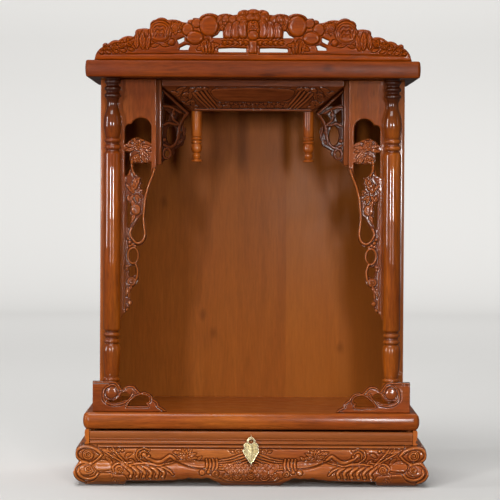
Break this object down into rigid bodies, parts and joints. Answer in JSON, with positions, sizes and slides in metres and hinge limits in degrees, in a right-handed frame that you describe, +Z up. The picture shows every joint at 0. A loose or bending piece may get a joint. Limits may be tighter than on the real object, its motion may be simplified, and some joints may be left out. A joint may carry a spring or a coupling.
{
  "type": "tabletop altar cabinet",
  "caption": "Tabletop altar cabinet: open niche, turned columns, carved base with a sliding drawer and drop pull, pierced carved crest.",
  "frame": {"origin": "on the surface that the feet stand on, under the middle of the whole piece", "axes": "+X along the width, +Y from the open front towards the back, +Z up"},
  "size_m": [0.612, 0.3888, 0.8242],
  "materials": {
    "frame_wood": "glossy red-brown lacquer over straight grain",
    "column_wood": "glossy orange-brown lacquer on turned wood",
    "carved_wood": "glossy orange-brown lacquer, darker in the carving's hollows",
    "panel_wood": "satin brown lacquer over upright boards",
    "canopy_wood": "glossy dark red-brown lacquer",
    "drawer_wood": "plain sanded wood",
    "brass": "polished pale brass"
  },
  "bodies": {
    "cabinet": {"front_apron": "carved_wood", "left_apron": "frame_wood", "right_apron": "frame_wood", "back_apron": "frame_wood", "drawer_shelf": "drawer_wood", "left_waist_moulding": "frame_wood", "right_waist_moulding": "frame_wood", "back_waist_moulding": "frame_wood", "base_board": "frame_wood", "left_side_wall": "frame_wood", "right_side_wall": "frame_wood", "back_wall": "panel_wood", "left_column": "column_wood", "right_column": "column_wood", "left_face_board": "carved_wood", "right_face_board": "carved_wood", "left_corner_bracket": "carved_wood", "right_corner_bracket": "carved_wood", "canopy": "canopy_wood", "left_canopy_post": "carved_wood", "right_canopy_post": "carved_wood", "left_canopy_bracket": "canopy_wood", "right_canopy_bracket": "canopy_wood", "left_pendant": "column_wood", "right_pendant": "column_wood", "top_board": "frame_wood", "crest": "carved_wood"},
    "drawer": {"drawer_front": "frame_wood", "drawer_bottom": "drawer_wood", "drawer_left_side": "drawer_wood", "drawer_right_side": "drawer_wood", "drawer_back": "drawer_wood", "pull_eye": "brass"},
    "pull": {"pull_plate": "brass"}
  },
  "joints": [
    {"name": "drawer_slide", "type": "slide", "parent": "cabinet", "child": "drawer", "axis": [0, -1, 0], "range_m": [0, 0.2]},
    {"name": "pull_swing", "type": "hinge", "parent": "drawer", "child": "pull", "pos_m": [0, -0.18765, 0.0857], "axis": [-1, 0, 0], "range_deg": [0, 85]}
  ]
}
